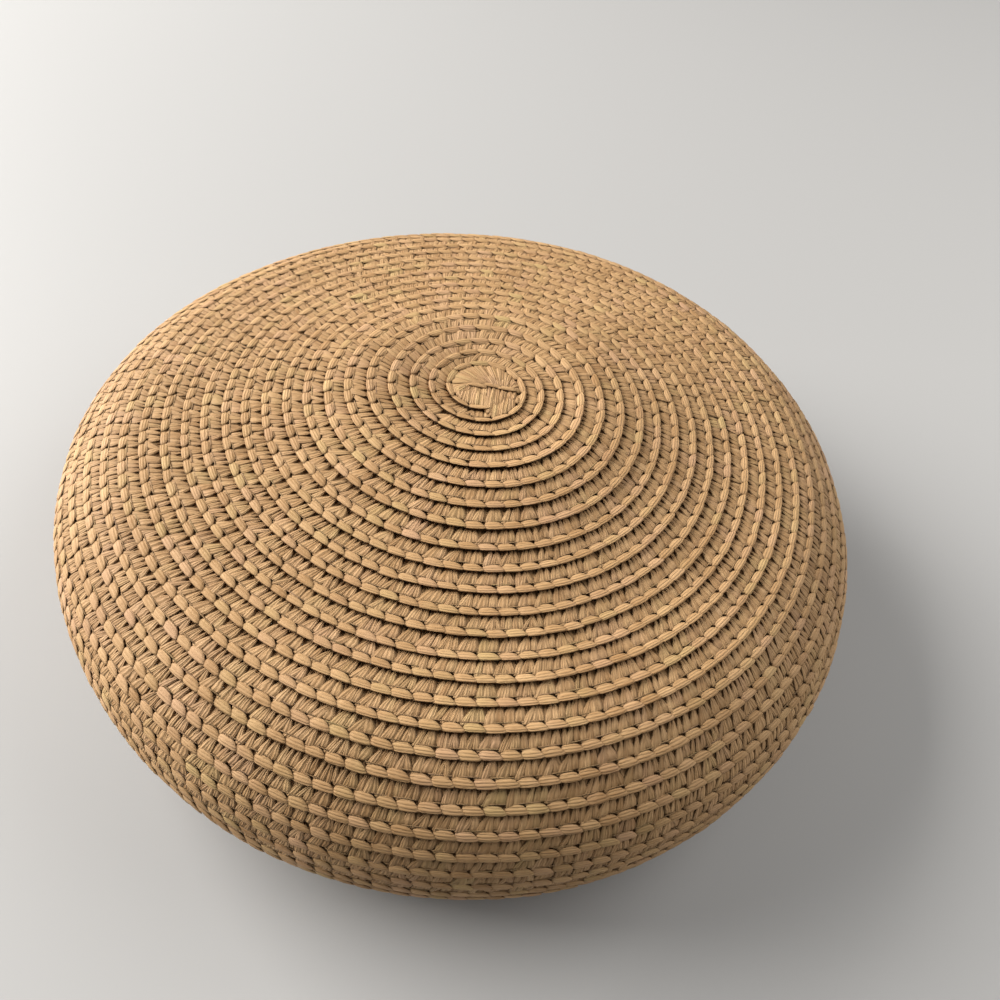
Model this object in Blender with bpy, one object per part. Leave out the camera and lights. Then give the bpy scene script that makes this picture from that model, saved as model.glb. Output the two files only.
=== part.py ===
"""Straw beret sewn in one spiral from a narrow braid, standing on the rim of its head opening.

Metres, +Z up. The origin is the middle of the rim, on the surface that the hat stands on.
The braid starts at the tip and winds outwards clockwise seen from above. Each turn's outer edge
is a lip that lies on the turn after it, so the outside is a spiral of shallow steps.
"""
import math

import bpy
import bmesh
import numpy as np

# The hat's own sizes
WIDEST_RADIUS = 0.140
OPENING_RADIUS = 0.0915
HEIGHT = 0.096

# The braid: its thickness, how far each lip stands over the next turn, and how wide a turn shows
WALL = 0.0016
LIP = 0.0012
ROW_PITCH = 0.00664
# The turns are pulled tighter at the tip and looser on the side: shares of the pitch, by turn
ROW_SPACING = [
    {"turn": 0.0, "of_pitch": 0.85},
    {"turn": 2.5, "of_pitch": 0.84},
    {"turn": 5.5, "of_pitch": 1.08},
    {"turn": 10.0, "of_pitch": 0.98},
    {"turn": 15.0, "of_pitch": 0.93},
    {"turn": 20.0, "of_pitch": 1.04},
    {"turn": 25.0, "of_pitch": 1.10},
    {"turn": 30.0, "of_pitch": 1.00},
]
# The lip falls away over this share of a pitch
LIP_FALL_SHARE = 0.14
# Where the braid starts, in turns from the tip, and in which direction, in degrees from +X
FIRST_TURN = 0.5
TIP_ANGLE = 229.0
# How much of the last turn still shows where its end is tucked in at the rim, as a pitch share
TAIL_SHARE = 0.4

# Facets: points round the hat, and rings on the inside. The rings lie closer where the outline
# bends, as if each radian of bend were this much longer.
STATIONS = 52
INNER_RINGS = 26
BEND_LENGTH = 0.030

# The outline from tip to rim, over the lips. A section's radius is of_widest times the widest
# radius plus of_rim times the rim's outer radius, and its depth below the tip is of_height
# times the height.
SECTIONS = [
    {"place": "tip", "of_widest": 0.000, "of_rim": 0.0, "of_height": 0.000},
    {"place": "flat centre", "of_widest": 0.150, "of_rim": 0.0, "of_height": -0.002},
    {"place": "edge of centre", "of_widest": 0.270, "of_rim": 0.0, "of_height": 0.000},
    {"place": "slope", "of_widest": 0.430, "of_rim": 0.0, "of_height": 0.046},
    {"place": "foot of slope", "of_widest": 0.620, "of_rim": 0.0, "of_height": 0.101},
    {"place": "shallow ring", "of_widest": 0.735, "of_rim": 0.0, "of_height": 0.130},
    {"place": "shoulder start", "of_widest": 0.808, "of_rim": 0.0, "of_height": 0.155},
    {"place": "shoulder", "of_widest": 0.890, "of_rim": 0.0, "of_height": 0.225},
    {"place": "side top", "of_widest": 0.957, "of_rim": 0.0, "of_height": 0.320},
    {"place": "side", "of_widest": 0.992, "of_rim": 0.0, "of_height": 0.443},
    {"place": "widest", "of_widest": 1.000, "of_rim": 0.0, "of_height": 0.560},
    {"place": "under the widest", "of_widest": 0.982, "of_rim": 0.018, "of_height": 0.672},
    {"place": "fold", "of_widest": 0.920, "of_rim": 0.080, "of_height": 0.772},
    {"place": "fold under", "of_widest": 0.720, "of_rim": 0.280, "of_height": 0.846},
    {"place": "underside", "of_widest": 0.420, "of_rim": 0.580, "of_height": 0.886},
    {"place": "underside end", "of_widest": 0.150, "of_rim": 0.850, "of_height": 0.914},
    {"place": "rim bend", "of_widest": 0.015, "of_rim": 0.985, "of_height": 0.950},
    {"place": "rim", "of_widest": 0.000, "of_rim": 1.000, "of_height": 1.000},
]

# Soft unevenness of the crown: waves round the hat, their height as a share of the hat's height,
# and the direction of a crest in degrees. It is full at the shoulder and gone at tip and rim.
DENTS = [
    {"place": "saddle", "waves": 2, "of_height": 0.022, "crest": 50.0},
    {"place": "three soft swells", "waves": 3, "of_height": 0.006, "crest": 49.0},
]

STRAW_COLOUR = (0.47, 0.31, 0.16, 1.0)
STRAW_ROUGHNESS = 0.62

THICKNESS = WALL + LIP
RIM_RADIUS = OPENING_RADIUS + THICKNESS
CURVE_POINTS = 1600


def smoothstep(x):
    """0 below 0, 1 above 1, and a smooth rise between."""
    t = np.clip(x, 0.0, 1.0)
    return t * t * (3.0 - 2.0 * t)


def outline():
    """Arc length, radius and height along the outline: a smooth curve through the sections.

    The curve is a cubic through neighbouring sections whose slope at a section is the mean of
    the chords on both sides, weighted by the chord lengths. It leaves the tip level and meets
    the rim straight down.
    """
    radius = np.array([s["of_widest"] * WIDEST_RADIUS + s["of_rim"] * RIM_RADIUS for s in SECTIONS])
    height = np.array([HEIGHT * (1.0 - s["of_height"]) for s in SECTIONS])
    points = np.stack([radius, height], axis=1)
    chord = np.linalg.norm(np.diff(points, axis=0), axis=1)
    knots = np.concatenate([[0.0], np.cumsum(chord)])
    slopes = np.diff(points, axis=0) / chord[:, None]
    tangents = np.empty_like(points)
    before, after = chord[:-1, None], chord[1:, None]
    tangents[1:-1] = (slopes[:-1] * after + slopes[1:] * before) / (before + after)
    tangents[0] = (1.0, 0.0)
    tangents[-1] = (0.0, -1.0)
    along = np.linspace(0.0, knots[-1], CURVE_POINTS)
    piece = np.clip(np.searchsorted(knots, along, side="right") - 1, 0, len(chord) - 1)
    span = chord[piece][:, None]
    t = (along - knots[piece])[:, None] / span
    start, end = points[piece], points[piece + 1]
    curve = ((2 * t**3 - 3 * t**2 + 1) * start + (t**3 - 2 * t**2 + t) * span * tangents[piece]
             + (3 * t**2 - 2 * t**3) * end + (t**3 - t**2) * span * tangents[piece + 1])
    steps = np.linalg.norm(np.diff(curve, axis=0), axis=1)
    return np.concatenate([[0.0], np.cumsum(steps)]), curve[:, 0], curve[:, 1]


ARC, RADIUS, LEVEL = outline()
LENGTH = ARC[-1]
SLOPE_OUT = np.gradient(RADIUS, ARC)
SLOPE_UP = np.gradient(LEVEL, ARC)


def dent_height(arc, angle):
    """How far the crown is raised at an arc length and an angle round the hat."""
    share = np.interp(arc, ARC, RADIUS) / WIDEST_RADIUS
    past_widest = arc > ARC[np.argmax(RADIUS)]
    level_share = np.interp(arc, ARC, LEVEL) / LEVEL[np.argmax(RADIUS)]
    strength = np.where(past_widest, smoothstep(level_share), smoothstep(share))
    wave = sum(d["of_height"] * HEIGHT * np.cos(d["waves"] * (angle - math.radians(d["crest"])))
               for d in DENTS)
    return strength * wave


def surface(arc, angle, depth):
    """Points of the hat at an arc length from the tip, an angle, and a depth under the lips."""
    arc, angle, depth = np.broadcast_arrays(arc, angle, depth)
    out = np.interp(arc, ARC, SLOPE_OUT)
    up = np.interp(arc, ARC, SLOPE_UP)
    size = np.hypot(out, up)
    radius = np.interp(arc, ARC, RADIUS) + depth * up / size
    level = np.interp(arc, ARC, LEVEL) - depth * out / size + dent_height(arc, angle)
    return np.stack([radius * np.cos(angle), radius * np.sin(angle), level], axis=-1)


def row_edge(turn):
    """Arc length from the tip to the braid's outer edge: the row spacing summed over the turns."""
    fine = np.arange(0.0, 3.0 * LENGTH / ROW_PITCH, 1.0 / STATIONS)
    share = np.interp(fine, [r["turn"] for r in ROW_SPACING], [r["of_pitch"] for r in ROW_SPACING])
    steps = (share[1:] + share[:-1]) / 2.0 * np.diff(fine)
    return ROW_PITCH * np.interp(turn, fine, np.concatenate([[0.0], np.cumsum(steps)]))


def station_angle(turn):
    """Angle round the hat, in radians, that the braid has reached after so many turns."""
    return math.radians(TIP_ANGLE) - 2.0 * math.pi * turn


def braid_turns():
    """The turn of each station along the braid, from its start to where its end is tucked in."""
    turns = np.arange(FIRST_TURN, 3.0 * LENGTH / ROW_PITCH, 1.0 / STATIONS)
    return turns[row_edge(turns) < LENGTH - TAIL_SHARE * ROW_PITCH]


def inner_ring_arcs():
    """Arc lengths of the inside's rings, from the first one past the tip to the rim."""
    bend = np.abs(np.diff(np.unwrap(np.arctan2(SLOPE_UP, SLOPE_OUT))))
    measure = np.concatenate([[0.0], np.cumsum(np.diff(ARC) + BEND_LENGTH * bend)])
    return np.interp(np.linspace(0.0, measure[-1], INNER_RINGS + 1)[1:], measure, ARC)


def straw_material():
    """Plain straw: one colour, dull."""
    material = bpy.data.materials.new("straw_braid")
    material.use_nodes = True
    shader = material.node_tree.nodes["Principled BSDF"]
    shader.inputs["Base Color"].default_value = STRAW_COLOUR
    shader.inputs["Roughness"].default_value = STRAW_ROUGHNESS
    shader.inputs["Metallic"].default_value = 0.0
    return material


def add_points(mesh, points):
    """Add points to a mesh under construction and return its new vertices as a list."""
    return [mesh.verts.new(point) for point in points]


def add_band(mesh, near, far):
    """Quads between two rows of vertices of the same length, near the tip and farther out."""
    for i in range(len(near) - 1):
        mesh.faces.new((near[i], near[i + 1], far[i + 1], far[i]))


def braid_shell():
    """The hat: a stepped spiral outside, a smooth wall inside, and a flat rim between them."""
    turns = braid_turns()
    edge_arc = row_edge(turns)
    angle = station_angle(turns)
    last = len(turns) - 1
    mesh = bmesh.new()

    # Outside: the lip's edge, and the foot of its step on the next turn
    edge = add_points(mesh, surface(edge_arc, angle, 0.0))
    foot = add_points(mesh, surface(edge_arc + LIP_FALL_SHARE * ROW_PITCH, angle, LIP))
    round_angles = station_angle(FIRST_TURN + np.arange(STATIONS) / STATIONS)
    rim_points = surface(LENGTH, round_angles, 0.0)
    rim_points[:, 2] = 0.0
    rim = add_points(mesh, rim_points)
    tip = mesh.verts.new(surface(0.0, 0.0, 0.0))

    for i in range(STATIONS):
        mesh.faces.new((tip, edge[i + 1], edge[i]))
    mesh.faces.new((tip, edge[0], foot[0], edge[STATIONS]))
    add_band(mesh, edge, foot)
    add_band(mesh, foot[:last - STATIONS + 1], edge[STATIONS:])
    rim_after = [rim[i % STATIONS] for i in range(last - STATIONS, last + 1)]
    add_band(mesh, foot[last - STATIONS:], rim_after)
    mesh.faces.new((foot[last - STATIONS], edge[last], foot[last], rim_after[-1]))

    # Inside: rings from the tip to the rim
    previous = None
    inner_tip = mesh.verts.new(surface(0.0, 0.0, THICKNESS))
    for arc in inner_ring_arcs():
        points = surface(arc, round_angles, THICKNESS)
        if arc == LENGTH:
            points[:, 2] = 0.0
        ring = add_points(mesh, points)
        ring.append(ring[0])
        if previous is None:
            for i in range(STATIONS):
                mesh.faces.new((inner_tip, ring[i], ring[i + 1]))
        else:
            add_band(mesh, ring, previous)
        previous = ring
    add_band(mesh, rim + [rim[0]], previous)

    bmesh.ops.recalc_face_normals(mesh, faces=mesh.faces[:])
    data = bpy.data.meshes.new("braid_shell")
    mesh.to_mesh(data)
    mesh.free()
    data.shade_smooth()
    data.set_sharp_from_angle(angle=math.radians(30.0))
    shell = bpy.data.objects.new("braid_shell", data)
    shell.data.materials.append(straw_material())
    bpy.context.scene.collection.objects.link(shell)
    return shell


def main():
    for thing in list(bpy.data.objects):
        bpy.data.objects.remove(thing)
    braid_shell()


main()
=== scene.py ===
"""Straw beret: the strands of its braid, its machine stitching and its inside, with light and camera.

Metres, +Z up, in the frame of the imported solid. The outline, the dents and the spiral are those of
the solid, and every strand is placed on them by three braid coordinates:
    along    metres of braid from its start at the tip
    inward   0 at the outer edge of the row and 1 at the outer edge of the row before it
    height   metres above the row's own face, along the hat's outward normal
Seen from above the braid winds clockwise, so on the front of the hat along grows to the left.
"""
import math

import bpy
import numpy as np
from mathutils import Matrix, Vector


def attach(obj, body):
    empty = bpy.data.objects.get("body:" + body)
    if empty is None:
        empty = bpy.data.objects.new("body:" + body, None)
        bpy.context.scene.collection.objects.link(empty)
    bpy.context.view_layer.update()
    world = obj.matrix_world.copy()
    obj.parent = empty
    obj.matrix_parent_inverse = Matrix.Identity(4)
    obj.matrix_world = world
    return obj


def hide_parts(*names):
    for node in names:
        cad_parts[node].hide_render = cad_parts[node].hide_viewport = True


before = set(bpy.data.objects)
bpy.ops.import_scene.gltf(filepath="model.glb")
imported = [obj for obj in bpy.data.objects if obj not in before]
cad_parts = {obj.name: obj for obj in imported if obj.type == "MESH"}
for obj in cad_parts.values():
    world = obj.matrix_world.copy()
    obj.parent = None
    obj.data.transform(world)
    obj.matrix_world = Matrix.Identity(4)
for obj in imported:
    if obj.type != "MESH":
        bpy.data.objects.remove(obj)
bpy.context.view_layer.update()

# The hat's own sizes, as in the solid
WIDEST_RADIUS = 0.140
OPENING_RADIUS = 0.0915
HEIGHT = 0.096
THICKNESS = 0.0028
RIM_RADIUS = OPENING_RADIUS + THICKNESS

# The outline from tip to rim: radius as shares of the widest radius and of the rim's, and depth
# below the tip as a share of the height
SECTIONS = [
    {"place": "tip", "of_widest": 0.000, "of_rim": 0.0, "of_height": 0.000},
    {"place": "flat centre", "of_widest": 0.150, "of_rim": 0.0, "of_height": -0.002},
    {"place": "edge of centre", "of_widest": 0.270, "of_rim": 0.0, "of_height": 0.000},
    {"place": "slope", "of_widest": 0.430, "of_rim": 0.0, "of_height": 0.046},
    {"place": "foot of slope", "of_widest": 0.620, "of_rim": 0.0, "of_height": 0.101},
    {"place": "shallow ring", "of_widest": 0.735, "of_rim": 0.0, "of_height": 0.130},
    {"place": "shoulder start", "of_widest": 0.808, "of_rim": 0.0, "of_height": 0.155},
    {"place": "shoulder", "of_widest": 0.890, "of_rim": 0.0, "of_height": 0.225},
    {"place": "side top", "of_widest": 0.957, "of_rim": 0.0, "of_height": 0.320},
    {"place": "side", "of_widest": 0.992, "of_rim": 0.0, "of_height": 0.443},
    {"place": "widest", "of_widest": 1.000, "of_rim": 0.0, "of_height": 0.560},
    {"place": "under the widest", "of_widest": 0.982, "of_rim": 0.018, "of_height": 0.672},
    {"place": "fold", "of_widest": 0.920, "of_rim": 0.080, "of_height": 0.772},
    {"place": "fold under", "of_widest": 0.720, "of_rim": 0.280, "of_height": 0.846},
    {"place": "underside", "of_widest": 0.420, "of_rim": 0.580, "of_height": 0.886},
    {"place": "underside end", "of_widest": 0.150, "of_rim": 0.850, "of_height": 0.914},
    {"place": "rim bend", "of_widest": 0.015, "of_rim": 0.985, "of_height": 0.950},
    {"place": "rim", "of_widest": 0.000, "of_rim": 1.000, "of_height": 1.000},
]
DENTS = [
    {"place": "saddle", "waves": 2, "of_height": 0.022, "crest": 50.0},
    {"place": "three soft swells", "waves": 3, "of_height": 0.006, "crest": 49.0},
]

# The spiral: how wide a turn shows, pulled tighter at the tip and looser on the side
ROW_PITCH = 0.00664
ROW_SPACING = [
    {"turn": 0.0, "of_pitch": 0.85},
    {"turn": 2.5, "of_pitch": 0.84},
    {"turn": 5.5, "of_pitch": 1.08},
    {"turn": 10.0, "of_pitch": 0.98},
    {"turn": 15.0, "of_pitch": 0.93},
    {"turn": 20.0, "of_pitch": 1.04},
    {"turn": 25.0, "of_pitch": 1.10},
    {"turn": 30.0, "of_pitch": 1.00},
]
TIP_ANGLE = 229.0
FIRST_TURN = 0.5
# The last turn narrows to this share of the pitch where its end is tucked in at the rim
TUCKED_WIDTH = 0.30

# Depths: the middle of the strands at a lip, how much deeper they lie one row further in, and how
# far under that middle the inside lies
LIP_DEPTH = 0.00040
ROW_STEP = 0.00130
INSIDE_UNDER = 0.00095

# The braid wanders a little as it is fed under the needle: waves along it that move the edge, as
# a share of the row, and lift it, in metres
WANDER = [
    {"wave_length": 0.083, "of_row": 0.010, "lift": 0.00004},
    {"wave_length": 0.217, "of_row": 0.014, "lift": 0.00006},
    {"wave_length": 0.461, "of_row": 0.012, "lift": 0.00007},
]

# One stitch of the braid: a lip strand, and two to four legs that run in under the next lip
STITCH_LENGTH = 0.00536
THREAD_STITCH = 0.0078
CURVE_POINTS = 1600
BRAID_POINTS = 24000
SEED = 20

CAMERA_FOCAL_PIXELS = 804.77
PICTURE_PIXELS = 1000
SENSOR_MM = 36.0
CAMERA_ELEVATION = 49.64
CAMERA_ROLL = 10.23
# The tip seen from the camera: metres to the right, down and ahead
TIP_FROM_CAMERA = (-0.00580, -0.03707, 0.26262)


def smoothstep(x):
    """0 below 0, 1 above 1, and a smooth rise between."""
    t = np.clip(x, 0.0, 1.0)
    return t * t * (3.0 - 2.0 * t)


def outline():
    """Arc length, radius and height along the outline: a cubic through the sections.

    The slope at a section is the mean of the chords on both sides, weighted by the chord lengths.
    """
    radius = np.array([s["of_widest"] * WIDEST_RADIUS + s["of_rim"] * RIM_RADIUS for s in SECTIONS])
    height = np.array([HEIGHT * (1.0 - s["of_height"]) for s in SECTIONS])
    points = np.stack([radius, height], axis=1)
    chord = np.linalg.norm(np.diff(points, axis=0), axis=1)
    knots = np.concatenate([[0.0], np.cumsum(chord)])
    slopes = np.diff(points, axis=0) / chord[:, None]
    tangents = np.empty_like(points)
    before, after = chord[:-1, None], chord[1:, None]
    tangents[1:-1] = (slopes[:-1] * after + slopes[1:] * before) / (before + after)
    tangents[0] = (1.0, 0.0)
    tangents[-1] = (0.0, -1.0)
    along = np.linspace(0.0, knots[-1], CURVE_POINTS)
    piece = np.clip(np.searchsorted(knots, along, side="right") - 1, 0, len(chord) - 1)
    span = chord[piece][:, None]
    t = (along - knots[piece])[:, None] / span
    start, end = points[piece], points[piece + 1]
    curve = ((2 * t**3 - 3 * t**2 + 1) * start + (t**3 - 2 * t**2 + t) * span * tangents[piece]
             + (3 * t**2 - 2 * t**3) * end + (t**3 - t**2) * span * tangents[piece + 1])
    steps = np.linalg.norm(np.diff(curve, axis=0), axis=1)
    return np.concatenate([[0.0], np.cumsum(steps)]), curve[:, 0], curve[:, 1]


ARC, RADIUS, LEVEL = outline()
LENGTH = ARC[-1]
SLOPE_OUT = np.gradient(RADIUS, ARC)
SLOPE_UP = np.gradient(LEVEL, ARC)


def dent_height(arc, angle):
    """How far the crown is raised: cosine waves round the hat, full at the shoulder, none at the rim."""
    share = np.interp(arc, ARC, RADIUS) / WIDEST_RADIUS
    past_widest = arc > ARC[np.argmax(RADIUS)]
    level_share = np.interp(arc, ARC, LEVEL) / LEVEL[np.argmax(RADIUS)]
    strength = np.where(past_widest, smoothstep(level_share), smoothstep(share))
    wave = sum(d["of_height"] * HEIGHT * np.cos(d["waves"] * (angle - math.radians(d["crest"])))
               for d in DENTS)
    return strength * wave


def surface(arc, angle, depth):
    """Points of the hat at an arc length from the tip, an angle, and a depth under the lips."""
    arc, angle, depth = np.broadcast_arrays(arc, angle, depth)
    out = np.interp(arc, ARC, SLOPE_OUT)
    up = np.interp(arc, ARC, SLOPE_UP)
    size = np.hypot(out, up)
    radius = np.interp(arc, ARC, RADIUS) + depth * up / size
    level = np.interp(arc, ARC, LEVEL) - depth * out / size + dent_height(arc, angle)
    return np.stack([radius * np.cos(angle), radius * np.sin(angle), np.maximum(level, 0.0)], axis=-1)


FINE_TURN = np.linspace(0.0, 60.0, 6001)
FINE_SHARE = np.interp(FINE_TURN, [r["turn"] for r in ROW_SPACING], [r["of_pitch"] for r in ROW_SPACING])
FINE_STEPS = (FINE_SHARE[1:] + FINE_SHARE[:-1]) / 2.0 * np.diff(FINE_TURN)
FINE_EDGE = ROW_PITCH * np.concatenate([[0.0], np.cumsum(FINE_STEPS)])
LAST_TURN = np.interp(LENGTH - TUCKED_WIDTH * ROW_PITCH, FINE_EDGE, FINE_TURN) + 1.0


def row_edge(turn):
    """Arc length from the tip to the braid's outer edge; the last turn's edge stays on the rim."""
    return np.minimum(np.interp(turn, FINE_TURN, FINE_EDGE), LENGTH)


def row_width(turn):
    """How much of the braid shows past the turn before."""
    return row_edge(turn) - row_edge(turn - 1.0)


def station_angle(turn):
    """Angle round the hat, in radians, that the braid has reached after so many turns."""
    return math.radians(TIP_ANGLE) - 2.0 * math.pi * turn


def braid_length():
    """Turn and length along the braid: the circle at the middle of the row, summed over the turns."""
    turn = np.linspace(FIRST_TURN, LAST_TURN, BRAID_POINTS)
    radius = np.interp(row_edge(turn) - row_width(turn) / 2.0, ARC, RADIUS)
    steps = math.pi * (radius[1:] + radius[:-1]) * np.diff(turn)
    return turn, np.concatenate([[0.0], np.cumsum(steps)])


BRAID_TURN, BRAID_ALONG = braid_length()


def on_braid(along, inward, height):
    """Points of the hat at braid coordinates: each row is a face that sinks one step over its width.

    The row's edge and height wander by a sum of sines of the length along the braid.
    """
    turn = np.interp(along, BRAID_ALONG, BRAID_TURN)
    phase = [2.0 * math.pi * along / w["wave_length"] for w in WANDER]
    shift = sum(w["of_row"] * np.sin(p) for w, p in zip(WANDER, phase))
    lift = sum(w["lift"] * np.cos(p) for w, p in zip(WANDER, phase))
    arc = row_edge(turn) - (inward + shift) * row_width(turn)
    depth = LIP_DEPTH + ROW_STEP * inward - height - lift
    return surface(np.clip(arc, 0.0, LENGTH), station_angle(turn), depth)


def closed_strands(count, stations, around):
    """Faces of many tubes: quads between rings of points, and a fan to a pole at both ends.

    A tube's points are its rings one after another, then its first pole and its last.
    """
    size = stations * around + 2
    ring = np.arange(around)
    following = (ring + 1) % around
    start = (np.arange(stations - 1) * around)[:, None]
    quads = np.stack([start + ring, start + following, start + around + following,
                      start + around + ring], axis=-1).reshape(-1, 4)
    last = (stations - 1) * around
    first_fan = np.stack([np.full(around, size - 2), following, ring], axis=-1)
    last_fan = np.stack([np.full(around, size - 1), last + ring, last + following], axis=-1)
    fans = np.concatenate([first_fan, last_fan])
    offset = (np.arange(count) * size)[:, None, None]
    return (offset + quads).reshape(-1, 4), (offset + fans).reshape(-1, 3)


def signed_volume(points, triangles):
    """Six times the volume inside triangles: the sum of their corners' triple products."""
    a, b, c = (points[triangles[:, i]] for i in range(3))
    return float(np.sum(a * np.cross(b, c)))


def new_mesh_object(name, points, quads, triangles, colour=None, lie=None):
    """A smooth-shaded mesh from arrays, its faces turned outwards, with colour and lie attributes."""
    split = np.concatenate([quads[:, [0, 1, 2]], quads[:, [0, 2, 3]], triangles])
    if signed_volume(points, split) < 0.0:
        quads, triangles = quads[:, ::-1], triangles[:, ::-1]
    mesh = bpy.data.meshes.new(name)
    mesh.vertices.add(len(points))
    mesh.vertices.foreach_set("co", points.astype(np.float32).ravel())
    corners = np.concatenate([quads.ravel(), triangles.ravel()]).astype(np.int32)
    starts = np.concatenate([np.arange(len(quads)) * 4, len(quads) * 4 + np.arange(len(triangles)) * 3])
    mesh.loops.add(len(corners))
    mesh.loops.foreach_set("vertex_index", corners)
    mesh.polygons.add(len(starts))
    mesh.polygons.foreach_set("loop_start", starts.astype(np.int32))
    mesh.update(calc_edges=True)
    mesh.shade_smooth()
    if colour is not None:
        tone = mesh.attributes.new("tone", "FLOAT_COLOR", "POINT")
        tone.data.foreach_set("color", colour.astype(np.float32).ravel())
    if lie is not None:
        place = mesh.attributes.new("lie", "FLOAT_VECTOR", "POINT")
        place.data.foreach_set("vector", lie.astype(np.float32).ravel())
    thing = bpy.data.objects.new(name, mesh)
    bpy.context.scene.collection.objects.link(thing)
    return thing


# Cross-section of a strand as angles round it: most points on the face that shows
LIP_RING = np.radians([0.0, 40.0, 90.0, 140.0, 180.0, 270.0])
LEG_RING = np.radians([0.0, 60.0, 120.0, 180.0, 270.0])
THREAD_RING = np.radians([20.0, 160.0, 270.0])
# Powers of the cosine and sine: below 1, the cross-section is fuller and flatter than an ellipse
FULLNESS = 0.75
FLATNESS = 0.65


def strands(ring, run, inward, height, half_width, half_height, side, tone, painted_lit, place=on_braid,
            unit=ROW_PITCH):
    """Points, colours and lies of many strands.

    run, inward, height: coordinates of the middle line, one row a strand, one column a station
    half_width, half_height: sizes of the cross-section at each station
    side: direction of the cross-section in the braid's face, as (along, inward) at each station
    seen: painted shade at each station, 1 for none and lower where the straw lies under others
    place: turns the coordinates into points; unit is the length, in metres, of its second one
    A ring is the middle plus side times half_width times the cosine, and half_height times the
    sine outwards. The poles are the ends of the middle line, two fifths of a station further on.
    """
    cosine, sine = np.cos(ring), np.sin(ring)
    wide = half_width[:, :, None] * np.sign(cosine) * np.abs(cosine) ** FULLNESS
    thick = half_height[:, :, None] * np.sign(sine) * np.abs(sine) ** FLATNESS
    along = run[:, :, None] + side[:, :, 0, None] * wide
    across = inward[:, :, None] + side[:, :, 1, None] * wide / unit
    up = height[:, :, None] + thick
    count, stations = run.shape

    def with_poles(rings, line):
        first = 1.4 * line[:, 0] - 0.4 * line[:, 1]
        last = 1.4 * line[:, -1] - 0.4 * line[:, -2]
        return np.concatenate([rings.reshape(count, -1), first[:, None], last[:, None]], axis=1)

    points = place(with_poles(along, run), with_poles(across, inward), with_poles(up, height))
    length = np.broadcast_to(np.linspace(0.0, 1.0, stations)[:, None], (stations, len(ring)))
    rolled = np.broadcast_to(ring / (2.0 * math.pi), (stations, len(ring)))
    lie = np.empty((count, stations * len(ring) + 2, 3))
    lie[:, :, 0] = np.concatenate([length.ravel(), [0.0, 1.0]])
    lie[:, :, 1] = np.concatenate([rolled.ravel(), [0.25, 0.25]])
    lie[:, :, 2] = tone[:, 3:4]
    colour = np.ones((count, stations * len(ring) + 2, 4))
    colour[:, :, :3] = tone[:, None, :3]
    # painted shade: the underside of each strand is darkened, and its two poles get 0.7 of the station value
    painted_lit_mix = painted_lit[:, :, None] * smoothstep(1.00 + 0.60 * np.sin(ring))
    colour[:, :, 2] = with_poles(painted_lit_mix, 0.7 * painted_lit)
    return points.reshape(-1, 3), colour.reshape(-1, 4), lie.reshape(-1, 3)


def tones(rng, count):
    """Random brightness, hue and pattern place of each strand."""
    return np.stack([rng.normal(0.5, 0.10, count), rng.normal(0.5, 0.17, count), np.ones(count),
                     rng.uniform(0.0, 100.0, count)], axis=1)


def column(table, name):
    """One named column of a table, as an array."""
    return np.array([row[name] for row in table])


# The inward place of the sewing, where the lip strands end and the legs come out
SEWN_AT = 0.40
# Lip strand, station by station: where its cross line meets the edge and the sewing, in shares of a
# stitch from its middle, its half width, height and half height in metres, and its painted shade (1 is none;
# the ends, which lie under the neighbours, are painted darker)
LIP_STATIONS = [
    {"edge": -0.62, "sewing": -0.20, "half_width": 0.00102,
     "height": 0.00003, "half_height": 0.00018, "painted_lit": 0.90},
    {"edge": -0.40, "sewing": -0.07, "half_width": 0.00130,
     "height": 0.00004, "half_height": 0.00024, "painted_lit": 1.00},
    {"edge": -0.02, "sewing": 0.14, "half_width": 0.00135,
     "height": 0.00002, "half_height": 0.00026, "painted_lit": 1.00},
    {"edge": 0.33, "sewing": 0.36, "half_width": 0.00130,
     "height": -0.00006, "half_height": 0.00024, "painted_lit": 1.00},
    {"edge": 0.55, "sewing": 0.49, "half_width": 0.00104,
     "height": -0.00019, "half_height": 0.00021, "painted_lit": 0.80},
]


def lip_strands(rng, middle, tone):
    """The leaf-shaped strands round the outer edge, each lapped slantwise over the end of the next.

    Its cross line turns from slanted, at the end nearer the braid's start, to square at the other,
    so that a three-sided hole stays open at the sewing between two of them.
    """
    count = len(middle)
    edge, sewing = column(LIP_STATIONS, "edge"), column(LIP_STATIONS, "sewing")
    length = STITCH_LENGTH * rng.normal(1.0, 0.035, count)[:, None]
    run = middle[:, None] + (edge + sewing) / 2.0 * length
    shift = rng.normal(0.0, 0.010, count)[:, None] + rng.normal(0.0, 0.012, count)[:, None] * edge
    inward = SEWN_AT / 2.0 + shift
    half_width = column(LIP_STATIONS, "half_width") * rng.normal(1.0, 0.05, count)[:, None]
    height = column(LIP_STATIONS, "height") + rng.normal(0.0, 0.00005, count)[:, None]
    half_height = column(LIP_STATIONS, "half_height") * rng.normal(1.0, 0.08, count)[:, None]
    slant = (sewing - edge) * length / (SEWN_AT * ROW_PITCH)
    side = np.stack([slant, np.ones_like(slant)], axis=-1)
    painted_lit = np.broadcast_to(column(LIP_STATIONS, "painted_lit"), run.shape)
    return (LIP_RING, run.shape[1]), strands(LIP_RING, run, inward, height, half_width, half_height,
                                             side, tone, painted_lit)


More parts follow.
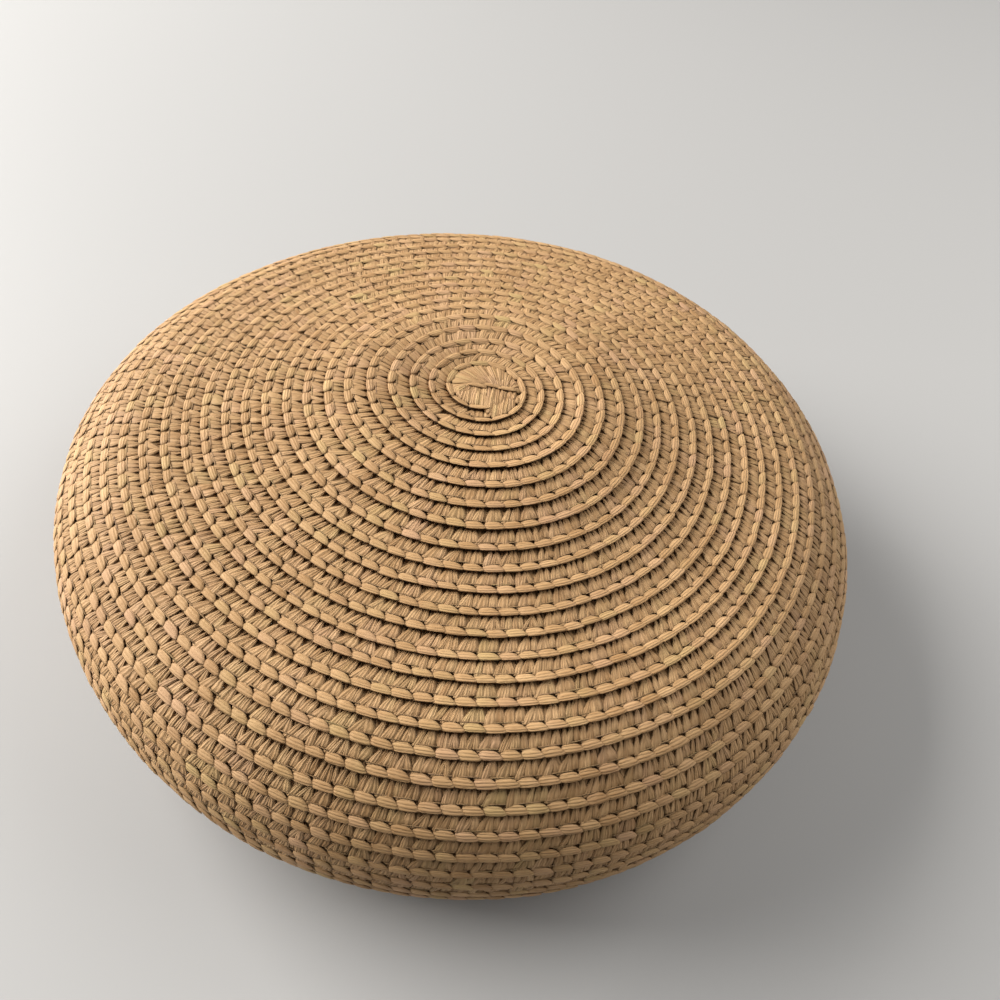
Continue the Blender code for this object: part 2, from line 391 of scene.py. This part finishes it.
# Leg, station by station: how far in it is, its width as a share of the room it has, its height
# and half height in metres, and its painted shade (1 is none; darker at both ends, most where it goes under
# the lip)
LEG_STATIONS = [
    {"place": 0.00, "width": 1.34, "height": -0.00012, "half_height": 0.00021, "painted_lit": 0.85},
    {"place": 0.34, "width": 1.30, "height": -0.00003, "half_height": 0.00022, "painted_lit": 1.00},
    {"place": 0.74, "width": 0.96, "height": 0.00003, "half_height": 0.00024, "painted_lit": 1.00},
    {"place": 1.00, "width": 0.52, "height": 0.00006, "half_height": 0.00021, "painted_lit": 0.80},
]


LEGS_PER_STITCH = [
    {"legs": 2, "chance": 0.18},
    {"legs": 3, "chance": 0.72},
    {"legs": 4, "chance": 0.10},
]
# Where a leg comes out and ends, as inward places; the first leg of a stitch stops short, at the hole
# beside its lip strand
FIRST_LEG_START = 0.46
LEG_START = 0.35
LEG_END = 1.08
LEG_LEAN_DEGREES = 14.0
# The inward place round which a leg leans
LEAN_MIDDLE = 0.6
# Changes of the legs over the turns, from a turn on and over so many turns: those of a stitch are
# drawn together by this share of their distance, and the last two stations grow or shrink
DRAWN = {"from_turn": 5.0, "over": 5.0, "share": 0.26}
CLOSE_AT_TIP = {"until_turn": 4.0, "over": 6.0, "third": 0.30, "last": 0.80}
OPEN_ON_SIDE = {"from_turn": 15.0, "over": 7.0, "third": 0.20, "last": 0.35}


def leg_strands(rng, middle, tone):
    """The short legs between the sewing and the row before, drawn narrow where they go under it.

    The legs of one stitch draw together there, and leave a wider notch to the next stitch's. Near the
    tip, where the turns are tight, they stay close; on the side they open.
    """
    per_stitch = rng.choice(column(LEGS_PER_STITCH, "legs"), len(middle), p=column(LEGS_PER_STITCH, "chance"))
    owner = np.repeat(np.arange(len(middle)), per_stitch)
    order = np.arange(len(owner)) - np.repeat(np.cumsum(per_stitch) - per_stitch, per_stitch)
    share = 1.0 / per_stitch[owner]
    count = len(owner)
    in_stitch = (order + 0.5) * share - 0.5
    centre = middle[owner] + STITCH_LENGTH * in_stitch
    centre += rng.normal(0.0, 0.00016, count)
    lean = np.tan(np.radians(rng.normal(LEG_LEAN_DEGREES, 8.0, count)))
    start = np.where(order == 0, FIRST_LEG_START, LEG_START) + rng.normal(0.0, 0.012, count)
    end = LEG_END + rng.normal(0.0, 0.02, count)
    inward = start[:, None] + (end - start)[:, None] * column(LEG_STATIONS, "place")
    turn = np.interp(centre, BRAID_ALONG, BRAID_TURN)
    pull = DRAWN["share"] * smoothstep((turn - DRAWN["from_turn"]) / DRAWN["over"])
    drawn = pull * STITCH_LENGTH * in_stitch
    run = centre[:, None] - lean[:, None] * (inward - LEAN_MIDDLE) * ROW_PITCH
    run -= drawn[:, None] * smoothstep(column(LEG_STATIONS, "place"))
    full = STITCH_LENGTH * share / 2.0
    half_width = full[:, None] * column(LEG_STATIONS, "width") * rng.normal(1.0, 0.07, count)[:, None]
    half_width[:, 3] *= rng.uniform(0.5, 1.5, count)
    close = 1.0 - smoothstep((turn - CLOSE_AT_TIP["until_turn"]) / CLOSE_AT_TIP["over"])
    wide_open = smoothstep((turn - OPEN_ON_SIDE["from_turn"]) / OPEN_ON_SIDE["over"])
    half_width[:, 2] *= 1.0 + CLOSE_AT_TIP["third"] * close - OPEN_ON_SIDE["third"] * wide_open
    half_width[:, 3] *= 1.0 + CLOSE_AT_TIP["last"] * close - OPEN_ON_SIDE["last"] * wide_open
    height = column(LEG_STATIONS, "height") + rng.normal(0.0, 0.00005, count)[:, None]
    half_height = column(LEG_STATIONS, "half_height") * rng.normal(1.0, 0.08, count)[:, None]
    side = np.zeros((*run.shape, 2))
    side[:, :, 0] = 1.0
    own = tones(rng, count)
    own[:, 1] = 0.65 * tone[owner, 1] + 0.35 * own[:, 1]
    # painted shade of the stations, dimmed at random per leg
    painted_lit = column(LEG_STATIONS, "painted_lit") * rng.uniform(0.75, 1.0, count)[:, None]
    return (LEG_RING, run.shape[1]), strands(LEG_RING, run, inward, height, half_width, half_height,
                                             side, own, painted_lit)


# Float of the sewing thread, end to end: its place, its height in metres, and its painted shade, dark at both
# ends where it dips into a hole
THREAD_STATIONS = [
    {"place": 0.00, "height": -0.00040, "painted_lit": 0.3},
    {"place": 0.12, "height": 0.00006, "painted_lit": 1.0},
    {"place": 0.88, "height": 0.00006, "painted_lit": 1.0},
    {"place": 1.00, "height": -0.00040, "painted_lit": 0.3},
]
THREAD_HALF_WIDTH = 0.00019
THREAD_HALF_HEIGHT = 0.00018
# A float is this share of the thread's stitch, and runs this far inside the lip strands' ends
FLOAT_SHARE = 0.90
FLOAT_INWARD = 0.015


def thread_stitches(rng, length):
    """The sewing thread just inside the lip: long floats that dip into a hole at both ends."""
    first = np.interp(NORMAL_FROM_TURN, BRAID_TURN, BRAID_ALONG)
    middle = np.arange(first + 0.6 * THREAD_STITCH, length, THREAD_STITCH)
    middle += rng.normal(0.0, 0.0003, len(middle))
    run = middle[:, None] + (column(THREAD_STATIONS, "place") - 0.5) * FLOAT_SHARE * THREAD_STITCH
    inward = np.full(run.shape, SEWN_AT + FLOAT_INWARD) + rng.normal(0.0, 0.008, len(middle))[:, None]
    height = np.broadcast_to(column(THREAD_STATIONS, "height"), run.shape)
    side = np.zeros((*run.shape, 2))
    side[:, :, 1] = 1.0
    painted_lit = np.broadcast_to(column(THREAD_STATIONS, "painted_lit"), run.shape)
    half_width = np.full(run.shape, THREAD_HALF_WIDTH)
    half_height = np.full(run.shape, THREAD_HALF_HEIGHT)
    return (THREAD_RING, run.shape[1]), strands(THREAD_RING, run, inward, height, half_width, half_height,
                                                side, tones(rng, len(middle)), painted_lit)


# The button at the tip: the braid's folded start, an upper patch lapped over a lower one along a
# slit. The braid's lip starts at the first turn here, and its own legs at the second.
LIP_FROM_TURN = 1.86
NORMAL_FROM_TURN = 2.83
SLIT = {"from_x": -0.0035, "to_x": 0.0105, "y": 0.0008}
# Straw of a patch, station by station: its place, how much it is raised in metres, its width as a
# share of the room it has, and its painted shade (1 is none)
PATCH_STATIONS = [
    {"place": 0.00, "raised": -0.00005, "width": 0.95, "painted_lit": 0.85},
    {"place": 0.30, "raised": 0.00006, "width": 1.10, "painted_lit": 1.00},
    {"place": 0.70, "raised": 0.00005, "width": 1.00, "painted_lit": 1.00},
    {"place": 1.00, "raised": -0.00008, "width": 0.70, "painted_lit": 0.75},
]
PATCH_HALF_HEIGHT = 0.00034
# Each tier of straws runs on under the next, to this many tier lengths
TIER_REACH = 1.45
# Strand along the slit, station by station: its place, how it bows in y and its half width in metres
EDGE_STATIONS = [
    {"place": -0.5, "bow": -0.0002, "half_width": 0.0005},
    {"place": -0.3, "bow": 0.0, "half_width": 0.0008},
    {"place": 0.0, "bow": 0.0001, "half_width": 0.0009},
    {"place": 0.3, "bow": 0.0, "half_width": 0.0008},
    {"place": 0.5, "bow": -0.0002, "half_width": 0.0005},
]
EDGE_STRANDS = [
    {"x": -0.0015, "y": 0.0004},
    {"x": 0.0033, "y": 0.0015},
    {"x": 0.0081, "y": 0.0012},
]
EDGE_STRAND_LENGTH = 0.0056


def on_tip(x, y, up):
    """Points of the tip at x and y in metres, raised over the depth of the lips."""
    return surface(np.hypot(x, y), np.arctan2(y, x), LIP_DEPTH - up)


def lip_ends(turn):
    """x and y where straw comes out from under the sewing, at so many turns."""
    radius = row_edge(turn) - (SEWN_AT + 0.03) * row_width(turn)
    angle = station_angle(turn)
    return radius * np.cos(angle), radius * np.sin(angle)


def tiers(rng, outer, inner, outer_up, inner_up, room, count):
    """Straws from outer points to inner points, cut into tiers that lap towards the inner end.

    room: how wide a straw may be at its outer and its inner end
    """
    families = []
    place = column(PATCH_STATIONS, "place")
    (x0, y0), (x1, y1) = outer, inner
    reach = np.hypot(x1 - x0, y1 - y0)
    across = np.stack([(y1 - y0) / reach, -(x1 - x0) / reach], axis=-1)
    for tier in range(count):
        begin = np.zeros(len(x0))
        if tier:
            begin = np.clip(tier / count + rng.normal(0.0, 0.10, len(x0)), 0.0, 1.0)
        finish = np.minimum(begin + TIER_REACH / count, 1.0)
        t = begin[:, None] + (finish - begin)[:, None] * place
        lean = rng.normal(0.0, 0.00025, len(x0))[:, None] * (place - 0.5)
        x = x0[:, None] + t * (x1 - x0)[:, None] + lean * across[:, :1]
        y = y0[:, None] + t * (y1 - y0)[:, None] + lean * across[:, 1:]
        up = outer_up + t * (inner_up - outer_up) + column(PATCH_STATIONS, "raised")
        up = up + rng.normal(0.0, 0.00009, len(x0))[:, None]
        wide = (room[0] + t * (room[1] - room[0])) * column(PATCH_STATIONS, "width")
        wide = wide * rng.normal(1.0, 0.12, len(x0))[:, None]
        side = np.repeat(across[:, None, :], len(place), axis=1)
        painted_lit = column(PATCH_STATIONS, "painted_lit") * rng.uniform(0.8, 1.0, len(x0))[:, None]
        families.append(((LEG_RING, len(place)), strands(
            LEG_RING, x, y, up, wide, np.full(t.shape, PATCH_HALF_HEIGHT), side,
            tones(rng, len(x0)), painted_lit, on_tip, 1.0)))
    return families


def button_strands(rng):
    """The two patches of the button and the edge of the upper one over the slit."""
    turn = np.linspace(2.06, 2.62, 26)
    share = (turn - turn[0]) / (turn[-1] - turn[0])
    slit_x = SLIT["from_x"] + share * (SLIT["to_x"] - SLIT["from_x"])
    upper = tiers(rng, lip_ends(turn), (slit_x, np.full(len(turn), SLIT["y"] + 0.0006)), -0.00060,
                  0.00005, (0.00100, 0.00045), 2)
    left_x, left_y = lip_ends(np.linspace(2.06, 1.87, 20))
    right_x, right_y = lip_ends(np.linspace(2.82, 2.64, 20))
    x = np.arange(-0.0090, 0.0134, 0.00105)
    bottom = np.interp(x, np.concatenate([left_x, right_x]), np.concatenate([left_y, right_y]))
    above = np.maximum(SLIT["from_x"] - x, 0.0) * 0.9 + np.maximum(x - SLIT["to_x"], 0.0) * 1.2
    top_x = x + rng.normal(0.0, 0.0003, len(x))
    lower = tiers(rng, (x, bottom), (top_x, SLIT["y"] + 0.0004 - above), -0.00050, -0.00050,
                  (0.00088, 0.00084), 2)
    run = column(EDGE_STRANDS, "x")[:, None] + column(EDGE_STATIONS, "place") * EDGE_STRAND_LENGTH
    inward = column(EDGE_STRANDS, "y")[:, None] + column(EDGE_STATIONS, "bow")
    side = np.zeros((*run.shape, 2))
    side[:, :, 1] = 1.0
    edge = ((LIP_RING, run.shape[1]), strands(
        LIP_RING, run, inward, np.full(run.shape, 0.00016),
        np.broadcast_to(column(EDGE_STATIONS, "half_width"), run.shape),
        np.full(run.shape, 0.00030), side, tones(rng, len(EDGE_STRANDS)), np.ones(run.shape), on_tip, 1.0))
    return [*upper, *lower, edge]


def joined(name, families):
    """One mesh object of several families of strands."""
    points, colours, lies, quads, fans = [], [], [], [], []
    offset = 0
    for (ring, stations), (place, colour, lie) in families:
        count = len(place) // (stations * len(ring) + 2)
        four, three = closed_strands(count, stations, len(ring))
        quads.append(four + offset)
        fans.append(three + offset)
        points.append(place)
        colours.append(colour)
        lies.append(lie)
        offset += len(place)
    return new_mesh_object(name, np.concatenate(points), np.concatenate(quads), np.concatenate(fans),
                           np.concatenate(colours), np.concatenate(lies))


# One row of the backing, from under the lip before to the step at its own edge: inward, metres
# under the middle of the strands, and its painted shade (1 is none; dark under the lip before, in the holes
# and at the step)
BACKING_PROFILE = [
    {"inward": 1.18, "under": 0.00070, "painted_lit_mix": 0.30},
    {"inward": 0.99, "under": 0.00042, "painted_lit_mix": 0.50},
    {"inward": 0.84, "under": 0.00029, "painted_lit_mix": 0.70},
    {"inward": 0.66, "under": 0.00014, "painted_lit_mix": 0.80},
    {"inward": 0.50, "under": 0.00016, "painted_lit_mix": 0.80},
    {"inward": 0.45, "under": 0.00066, "painted_lit_mix": 0.12},
    {"inward": 0.30, "under": 0.00066, "painted_lit_mix": 0.12},
    {"inward": 0.20, "under": 0.00030, "painted_lit_mix": 0.50},
    {"inward": 0.12, "under": 0.00030, "painted_lit_mix": 0.40},
    {"inward": 0.15, "under": 0.00078, "painted_lit_mix": 0.00},
]
# The inside, with the same columns; its last column is painted shade too
INSIDE_PROFILE = [
    {"inward": 1.30, "under": INSIDE_UNDER, "painted_lit_mix": 0.8},
    {"inward": 0.85, "under": INSIDE_UNDER + 0.00015, "painted_lit_mix": 0.9},
    {"inward": 0.45, "under": INSIDE_UNDER, "painted_lit_mix": 0.7},
    {"inward": 0.33, "under": 0.9 * INSIDE_UNDER, "painted_lit_mix": 0.1},
]
BACKING_STATIONS = 150
# Brightness and hue of the backing. Its tone has alpha 0, which gives it deeper folds in the material
# than the single strands have, whose alpha is 1
BACKING_BRIGHTNESS = 0.42
BACKING_HUE = 0.5
# One pattern of folds is this many stitches long
STITCHES_A_PATTERN = 3.0


def stepped_sheet(profile, stations):
    """Points and faces of a spiral sheet: the profile of one row carried along the braid.

    Each row's last points are joined to the first points of the row one turn on. Also returned are
    the loop round the middle, the edge at the rim and the end of the braid, in their order.
    """
    turn = np.arange(FIRST_TURN, LAST_TURN, 1.0 / stations)
    inward, under = column(profile, "inward"), column(profile, "under")
    along = np.interp(turn, BRAID_TURN, BRAID_ALONG)
    grid = on_braid(along[:, None], inward, -under)
    colour = np.empty((*grid.shape[:2], 4))
    colour[:] = (BACKING_BRIGHTNESS, BACKING_HUE, 0.0, 0.0)
    colour[:, :, 2] = column(profile, "painted_lit_mix")
    lie = np.empty_like(grid)
    lie[:, :, 0] = inward
    lie[:, :, 1] = along[:, None] / STITCH_LENGTH / STITCHES_A_PATTERN
    lie[:, :, 2] = 0.0
    across = len(profile)
    index = np.arange(len(turn) * across).reshape(len(turn), across)
    strips = np.stack([index[:-1, :-1], index[1:, :-1], index[1:, 1:], index[:-1, 1:]], axis=-1)
    laps = np.stack([index[:-stations - 1, -1], index[1:-stations, -1], index[stations + 1:, 0],
                     index[stations:-1, 0]], axis=-1)
    quads = np.concatenate([strips.reshape(-1, 4), laps.reshape(-1, 4)])
    middle = np.concatenate([index[:stations + 1, 0], index[0, :0:-1]])
    edge = index[-stations - 1:, -1]
    tail = np.concatenate([[index[-stations - 1, -1]], index[-1, :]])
    arrays = [part.reshape(-1, part.shape[-1]) for part in (grid, colour, lie)]
    return arrays, quads, middle, edge, tail


def fan(pole, loop):
    """Triangles from a pole to each side of a closed loop."""
    return np.stack([np.full(len(loop), pole), loop, np.roll(loop, -1)], axis=-1)


def braid_backing():
    """The closed body under the strands: a stepped sheet outside, another inside, and a flat rim."""
    outer, outer_quads, outer_middle, outer_edge, outer_tail = stepped_sheet(
        BACKING_PROFILE, BACKING_STATIONS)
    inner, inner_quads, inner_middle, inner_edge, inner_tail = stepped_sheet(
        INSIDE_PROFILE, BACKING_STATIONS)
    stations = len(outer[0]) // len(BACKING_PROFILE)
    turn = FIRST_TURN + (stations - 1 - BACKING_STATIONS + np.arange(BACKING_STATIONS)) / BACKING_STATIONS
    angle = station_angle(turn)
    level = np.zeros_like(angle)
    rims = [np.stack([radius * np.cos(angle), radius * np.sin(angle), level], axis=-1)
            for radius in (RIM_RADIUS, OPENING_RADIUS)]
    poles = np.stack([surface(0.0, 0.0, LIP_DEPTH), surface(0.0, 0.0, THICKNESS + 0.0004)])
    plain = np.concatenate([*rims, poles])
    points = np.concatenate([outer[0], inner[0], plain])
    # painted shade on the rim and the two poles, at 0.7
    plain_tone = np.tile([BACKING_BRIGHTNESS, BACKING_HUE, 0.7, 0.0], (len(plain), 1))
    colour = np.concatenate([outer[1], inner[1], plain_tone])
    lie = np.concatenate([outer[2], inner[2], np.zeros_like(plain)])
    shift = len(outer[0])
    rim_out = shift + len(inner[0]) + np.arange(BACKING_STATIONS + 1) % BACKING_STATIONS
    rim_in = rim_out + BACKING_STATIONS
    pole_out, pole_in = len(points) - 2, len(points) - 1

    def band(near, far):
        return np.stack([near[:-1], near[1:], far[1:], far[:-1]], axis=-1)

    quads = np.concatenate([
        outer_quads,
        band(outer_edge, rim_out),
        band(rim_out, rim_in),
        band(rim_in, inner_edge + shift),
        inner_quads[:, ::-1] + shift,
    ])
    outer_end = np.concatenate([outer_tail, [rim_out[0]]])
    inner_end = np.concatenate([inner_tail + shift, [rim_in[0]]])
    triangles = np.concatenate([
        fan(pole_out, outer_middle)[:, ::-1],
        fan(pole_in, inner_middle + shift),
        fan(outer_end[0], outer_end[1:])[:-1],
        fan(inner_end[0], inner_end[1:])[:-1, ::-1],
    ])
    return new_mesh_object("braid_backing", points, quads, triangles, colour, lie)


class Value:
    """A socket of a material in the making; arithmetic on it adds Math nodes."""

    def __init__(self, maker, socket):
        self.maker = maker
        self.socket = socket

    def math(self, operation, *others):
        node = self.maker.node("ShaderNodeMath", {"operation": operation}, [self, *others])
        return Value(self.maker, node.outputs[0])

    def __add__(self, other):
        return self.math("ADD", other)

    __radd__ = __add__

    def __sub__(self, other):
        return self.math("SUBTRACT", other)

    def __rsub__(self, other):
        return Value(self.maker, self.maker.node("ShaderNodeMath", {"operation": "SUBTRACT"},
                                                 [other, self]).outputs[0])

    def __mul__(self, other):
        return self.math("MULTIPLY", other)

    __rmul__ = __mul__

    def sine(self):
        return self.math("SINE")


class MaterialMaker:
    """Builds one node material round a Principled BSDF."""

    def __init__(self, name):
        self.material = bpy.data.materials.new(name)
        self.material.use_nodes = True
        self.tree = self.material.node_tree
        self.shader = self.tree.nodes["Principled BSDF"]

    def node(self, kind, settings=None, sockets=None):
        """A node with its settings, then its sockets by place or name, as numbers or links."""
        node = self.tree.nodes.new(kind)
        for key, value in (settings or {}).items():
            setattr(node, key, value)
        named = enumerate(sockets) if isinstance(sockets, (list, tuple)) else (sockets or {}).items()
        for key, value in named:
            self.feed(node.inputs[key], value)
        return node

    def feed(self, socket, value):
        """Link a socket, or set its constant."""
        if isinstance(value, Value):
            self.tree.links.new(value.socket, socket)
        else:
            socket.default_value = value

    def output(self, node, name):
        return Value(self, node.outputs[name])

    def blend(self, factor, first, second):
        """Colour mixed from first to second by a factor."""
        node = self.node("ShaderNodeMix", {"data_type": "RGBA"})
        self.feed(node.inputs["Factor"], factor)
        self.feed(node.inputs[6], first)
        self.feed(node.inputs[7], second)
        return Value(self, node.outputs[2])

    def ramp(self, value, low, high):
        """0 where a value is low, 1 where it is high, straight between."""
        node = self.node("ShaderNodeMapRange", {"clamp": True}, {"Value": value, "From Min": low,
                                                                "From Max": high})
        return Value(self, node.outputs["Result"])


STRAW_DARK = (0.300, 0.158, 0.060, 1.0)
STRAW_LIGHT = (0.590, 0.374, 0.185, 1.0)
STRAW_ROSY = (0.540, 0.325, 0.200, 1.0)
STRAW_GREENISH = (0.490, 0.360, 0.150, 1.0)
# dark brown painted shade, for the gaps, the strands' undersides and their ends
STRAW_PAINTED_SHADE = (0.120, 0.056, 0.018, 1.0)


def straw_material():
    """Twisted paper straw: each strand its own tone, streaked along its length, with painted shade where it
    goes under.
    """
    make = MaterialMaker("straw_braid")
    tone = make.node("ShaderNodeAttribute", {"attribute_name": "tone"})
    parts = make.node("ShaderNodeSeparateColor", {}, {"Color": make.output(tone, "Color")})
    bright, hue, painted_lit_mix = (make.output(parts, name) for name in ("Red", "Green", "Blue"))
    # 1 on the strands and 0 on the backing, whose folds stand out more
    single = make.output(tone, "Alpha")
    lie = make.node("ShaderNodeAttribute", {"attribute_name": "lie"})
    axes = make.node("ShaderNodeSeparateXYZ", {}, {"Vector": make.output(lie, "Vector")})
    length, rolled, place = (make.output(axes, name) for name in ("X", "Y", "Z"))
    fibre_at = make.node("ShaderNodeCombineXYZ", {}, {"X": length * 1.6, "Y": rolled * 10.0, "Z": place})
    fibre = make.output(make.node("ShaderNodeTexNoise", {"noise_dimensions": "3D"}, {
        "Vector": make.output(fibre_at, "Vector"), "Scale": 1.0, "Detail": 3.0, "Roughness": 0.65}), "Fac")
    folds = (rolled * 60.0 + 5.0 * fibre + place).sine()
    coordinates = make.node("ShaderNodeTexCoord")
    patch = make.output(make.node("ShaderNodeTexNoise", {}, {
        "Vector": make.output(coordinates, "Object"), "Scale": 38.0, "Detail": 2.0}), "Fac")
    cast = make.output(make.node("ShaderNodeTexNoise", {}, {
        "Vector": make.output(coordinates, "Object"), "Scale": 90.0, "Detail": 1.0}), "Fac")
    light = make.ramp(bright + 0.9 * (fibre - 0.5) + 0.35 * (patch - 0.5) + 0.10 * folds, 0.0, 1.0)
    straw = make.blend(light, STRAW_DARK, STRAW_LIGHT)
    shade = 0.6 * hue + 0.4 * cast
    rosy = make.blend(make.ramp(shade, 0.55, 0.85) * 0.6, straw, STRAW_ROSY)
    tinted = make.blend(make.ramp(shade, 0.45, 0.15) * 0.6, rosy, STRAW_GREENISH)
    # painted shade: the straw colour is mixed towards dark brown where the blue of the tone is low
    colour = make.blend(painted_lit_mix, STRAW_PAINTED_SHADE, tinted)
    make.feed(make.shader.inputs["Base Color"], colour)
    make.feed(make.shader.inputs["Roughness"], 0.74 - 0.14 * fibre)
    make.shader.inputs["Specular IOR Level"].default_value = 0.25
    relief = fibre + (1.4 - 1.2 * single) * folds
    bump = make.node("ShaderNodeBump", {}, {"Strength": 0.8, "Distance": 0.00035, "Height": relief})
    make.feed(make.shader.inputs["Normal"], make.output(bump, "Normal"))
    return make.material


def floor_material():
    """Plain pale floor."""
    make = MaterialMaker("pale_floor")
    make.shader.inputs["Base Color"].default_value = (0.40, 0.396, 0.39, 1.0)
    make.shader.inputs["Roughness"].default_value = 0.6
    return make.material


# The braid cut into pieces for its zones, by turn
ZONES = [
    {"name": "crown_braid", "from_turn": LIP_FROM_TURN, "to_turn": 15.0},
    {"name": "shoulder_braid", "from_turn": 15.0, "to_turn": 21.5},
    {"name": "side_braid", "from_turn": 21.5, "to_turn": 26.5},
    {"name": "fold_braid", "from_turn": 26.5, "to_turn": 31.5},
    {"name": "underside_braid", "from_turn": 31.5, "to_turn": LAST_TURN},
]


def braid_pieces(straw):
    """The strands of every zone, one piece a zone, the button, and the sewing thread."""
    rng = np.random.default_rng(SEED)
    count = int(BRAID_ALONG[-1] / STITCH_LENGTH) - 1
    middle = (np.arange(count) + 0.7) * STITCH_LENGTH
    middle += rng.normal(0.0, 0.00012, count)
    turn = np.interp(middle, BRAID_ALONG, BRAID_TURN)
    tone = tones(rng, count)
    made = []
    for zone in ZONES:
        inside = (turn >= zone["from_turn"]) & (turn < zone["to_turn"])
        legs = inside & (turn >= NORMAL_FROM_TURN)
        made.append(joined(zone["name"], [lip_strands(rng, middle[inside], tone[inside]),
                                          leg_strands(rng, middle[legs], tone[legs])]))
    made.append(joined("tip_button", button_strands(rng)))
    made.append(joined("machine_stitching", [thread_stitches(rng, BRAID_ALONG[-1])]))
    for piece in made:
        piece.data.materials.append(straw)
        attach(piece, "root")


def backing_piece(straw):
    """The body under the strands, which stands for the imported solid."""
    backing = braid_backing()
    backing.data.materials.append(straw)
    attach(backing, "root")
    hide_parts("braid_shell")


FLOOR_HALF_SIZE = 3.0


def floor_piece():
    """A wide flat floor."""
    half = FLOOR_HALF_SIZE
    corners = np.array([[-half, -half, 0.0], [half, -half, 0.0], [half, half, 0.0], [-half, half, 0.0]])
    mesh = bpy.data.meshes.new("floor")
    mesh.from_pydata(corners.tolist(), [], [(0, 1, 2, 3)])
    floor = bpy.data.objects.new("floor", mesh)
    bpy.context.scene.collection.objects.link(floor)
    floor.data.materials.append(floor_material())


def area_light(name, place, aim, size, watts, colour):
    """A square soft light at a place, turned towards its aim."""
    data = bpy.data.lights.new(name, "AREA")
    data.size = size
    data.energy = watts
    data.color = colour
    light = bpy.data.objects.new(name, data)
    light.location = place
    light.rotation_euler = (Vector(aim) - Vector(place)).to_track_quat("-Z", "Y").to_euler()
    bpy.context.scene.collection.objects.link(light)


# A broad key from the left and a weaker broad fill from the right
LIGHTS = [
    {"name": "key", "place": (-1.95, 0.42, 1.08), "size": 1.8, "watts": 145.0, "colour": (1.0, 0.98, 0.95)},
    {"name": "fill", "place": (1.70, 0.70, 1.55), "size": 2.0, "watts": 41.0, "colour": (1.0, 0.985, 0.96)},
]
LIGHTS_AIM = (0.0, 0.0, 0.05)
SURROUND_STRENGTH = 0.13


def lights():
    """The area lights, and a grey surround."""
    for row in LIGHTS:
        area_light(row["name"], row["place"], LIGHTS_AIM, row["size"], row["watts"], row["colour"])
    world = bpy.data.worlds.new("surround")
    world.use_nodes = True
    world.node_tree.nodes["Background"].inputs["Color"].default_value = (0.98, 0.985, 1.0, 1.0)
    world.node_tree.nodes["Background"].inputs["Strength"].default_value = SURROUND_STRENGTH
    bpy.context.scene.world = world


def camera():
    """The photograph's view: turned down by the elevation, rolled, and placed from the tip."""
    elevation, roll = math.radians(CAMERA_ELEVATION), math.radians(CAMERA_ROLL)
    ahead = Vector((0.0, math.cos(elevation), -math.sin(elevation)))
    level_right = Vector((1.0, 0.0, 0.0))
    level_down = Vector((0.0, -math.sin(elevation), -math.cos(elevation)))
    right = math.cos(roll) * level_right - math.sin(roll) * level_down
    down = math.sin(roll) * level_right + math.cos(roll) * level_down
    x, y, z = TIP_FROM_CAMERA
    place = Vector((0.0, 0.0, HEIGHT)) - x * right - y * down - z * ahead
    data = bpy.data.cameras.new("camera")
    data.sensor_width = SENSOR_MM
    data.lens = CAMERA_FOCAL_PIXELS * SENSOR_MM / PICTURE_PIXELS
    data.clip_start = 0.01
    view = bpy.data.objects.new("camera", data)
    view.matrix_world = Matrix.Translation(place) @ Matrix((right, -down, -ahead)).transposed().to_4x4()
    bpy.context.scene.collection.objects.link(view)
    bpy.context.scene.camera = view


camera()
floor_piece()
lights()
straw = straw_material()
backing_piece(straw)
braid_pieces(straw)
bpy.context.scene.view_settings.view_transform = "Standard"
